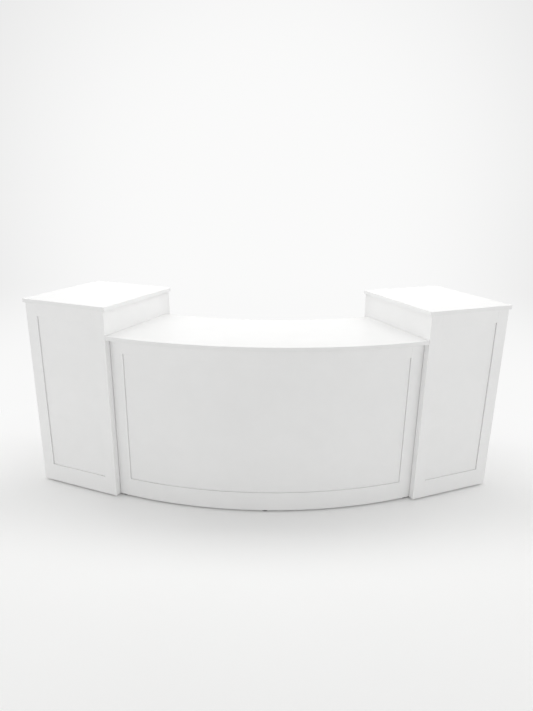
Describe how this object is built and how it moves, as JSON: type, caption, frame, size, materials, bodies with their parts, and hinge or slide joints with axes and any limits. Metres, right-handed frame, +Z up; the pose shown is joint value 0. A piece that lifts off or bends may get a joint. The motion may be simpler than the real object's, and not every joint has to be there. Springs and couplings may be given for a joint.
{
  "type": "bar counter",
  "caption": "Curved freestanding bar counter in white panelled boards, between taller rectangular end towers, with open storage behind and levelling feet below.",
  "frame": {"origin": "on the floor, at the bottom centre of the box around the whole counter", "axes": "+X along the counter to the right as a customer sees it, +Y from the curved front to the open back where the staff stand, +Z up"},
  "size_m": [3.0048, 1.082, 1.24],
  "materials": {
    "painted_case": "satin white lacquer on board",
    "painted_top": "satin white lacquer on board, a little smoother on the tops",
    "painted_inside": "matt white lacquer on board",
    "timber_block": "bare planed timber",
    "zinc_steel": "zinc-plated steel",
    "foot_plastic": "black moulded nylon"
  },
  "bodies": {
    "cabinet": {"counter_top": "painted_top", "curved_front_panel": "painted_case", "curved_top_rail": "painted_case", "curved_bottom_rail": "painted_case", "curved_left_stile": "painted_case", "curved_right_stile": "painted_case", "centre_left_end_panel": "painted_inside", "centre_right_end_panel": "painted_inside", "centre_left_divider": "painted_inside", "centre_right_divider": "painted_inside", "centre_base_deck": "painted_inside", "centre_left_shelf": "painted_inside", "centre_middle_shelf": "painted_inside", "centre_right_shelf": "painted_inside", "centre_front_stretcher": "painted_inside", "centre_back_stretcher": "painted_inside", "left_tower_top": "painted_top", "left_tower_subtop": "painted_inside", "left_tower_inner_side": "painted_case", "left_tower_outer_side": "painted_case", "left_tower_front_panel": "painted_case", "left_tower_inner_stile": "painted_case", "left_tower_outer_stile": "painted_case", "left_tower_top_rail": "painted_case", "left_tower_bottom_rail": "painted_case", "left_tower_base_deck": "painted_inside", "left_tower_lower_shelf": "painted_inside", "left_tower_upper_shelf": "painted_inside", "right_tower_top": "painted_top", "right_tower_subtop": "painted_inside", "right_tower_inner_side": "painted_case", "right_tower_outer_side": "painted_case", "right_tower_front_panel": "painted_case", "right_tower_inner_stile": "painted_case", "right_tower_outer_stile": "painted_case", "right_tower_top_rail": "painted_case", "right_tower_bottom_rail": "painted_case", "right_tower_base_deck": "painted_inside", "right_tower_lower_shelf": "painted_inside", "right_tower_upper_shelf": "painted_inside", "foot_blocks": "timber_block", "foot_inserts": "zinc_steel", "connector_bolts": "zinc_steel", "connector_nuts": "zinc_steel", "top_screws": "zinc_steel"},
    "foot_centre_front_left": {"foot_centre_front_left": "foot_plastic"},
    "foot_centre_front_middle": {"foot_centre_front_middle": "foot_plastic"},
    "foot_centre_front_right": {"foot_centre_front_right": "foot_plastic"},
    "foot_centre_back_left": {"foot_centre_back_left": "foot_plastic"},
    "foot_centre_back_middle": {"foot_centre_back_middle": "foot_plastic"},
    "foot_centre_back_right": {"foot_centre_back_right": "foot_plastic"},
    "foot_left_tower_front_inner": {"foot_left_tower_front_inner": "foot_plastic"},
    "foot_left_tower_front_outer": {"foot_left_tower_front_outer": "foot_plastic"},
    "foot_left_tower_back_inner": {"foot_left_tower_back_inner": "foot_plastic"},
    "foot_left_tower_back_outer": {"foot_left_tower_back_outer": "foot_plastic"},
    "foot_right_tower_front_inner": {"foot_right_tower_front_inner": "foot_plastic"},
    "foot_right_tower_front_outer": {"foot_right_tower_front_outer": "foot_plastic"},
    "foot_right_tower_back_inner": {"foot_right_tower_back_inner": "foot_plastic"},
    "foot_right_tower_back_outer": {"foot_right_tower_back_outer": "foot_plastic"}
  },
  "joints": [
    {"name": "foot_centre_front_left_height", "type": "slide", "parent": "cabinet", "child": "foot_centre_front_left", "axis": [0, 0, -1], "range_m": [0, 0.02]},
    {"name": "foot_centre_front_middle_height", "type": "slide", "parent": "cabinet", "child": "foot_centre_front_middle", "axis": [0, 0, -1], "range_m": [0, 0.02]},
    {"name": "foot_centre_front_right_height", "type": "slide", "parent": "cabinet", "child": "foot_centre_front_right", "axis": [0, 0, -1], "range_m": [0, 0.02]},
    {"name": "foot_centre_back_left_height", "type": "slide", "parent": "cabinet", "child": "foot_centre_back_left", "axis": [0, 0, -1], "range_m": [0, 0.02]},
    {"name": "foot_centre_back_middle_height", "type": "slide", "parent": "cabinet", "child": "foot_centre_back_middle", "axis": [0, 0, -1], "range_m": [0, 0.02]},
    {"name": "foot_centre_back_right_height", "type": "slide", "parent": "cabinet", "child": "foot_centre_back_right", "axis": [0, 0, -1], "range_m": [0, 0.02]},
    {"name": "foot_left_tower_front_inner_height", "type": "slide", "parent": "cabinet", "child": "foot_left_tower_front_inner", "axis": [0, 0, -1], "range_m": [0, 0.02]},
    {"name": "foot_left_tower_front_outer_height", "type": "slide", "parent": "cabinet", "child": "foot_left_tower_front_outer", "axis": [0, 0, -1], "range_m": [0, 0.02]},
    {"name": "foot_left_tower_back_inner_height", "type": "slide", "parent": "cabinet", "child": "foot_left_tower_back_inner", "axis": [0, 0, -1], "range_m": [0, 0.02]},
    {"name": "foot_left_tower_back_outer_height", "type": "slide", "parent": "cabinet", "child": "foot_left_tower_back_outer", "axis": [0, 0, -1], "range_m": [0, 0.02]},
    {"name": "foot_right_tower_front_inner_height", "type": "slide", "parent": "cabinet", "child": "foot_right_tower_front_inner", "axis": [0, 0, -1], "range_m": [0, 0.02]},
    {"name": "foot_right_tower_front_outer_height", "type": "slide", "parent": "cabinet", "child": "foot_right_tower_front_outer", "axis": [0, 0, -1], "range_m": [0, 0.02]},
    {"name": "foot_right_tower_back_inner_height", "type": "slide", "parent": "cabinet", "child": "foot_right_tower_back_inner", "axis": [0, 0, -1], "range_m": [0, 0.02]},
    {"name": "foot_right_tower_back_outer_height", "type": "slide", "parent": "cabinet", "child": "foot_right_tower_back_outer", "axis": [0, 0, -1], "range_m": [0, 0.02]}
  ]
}
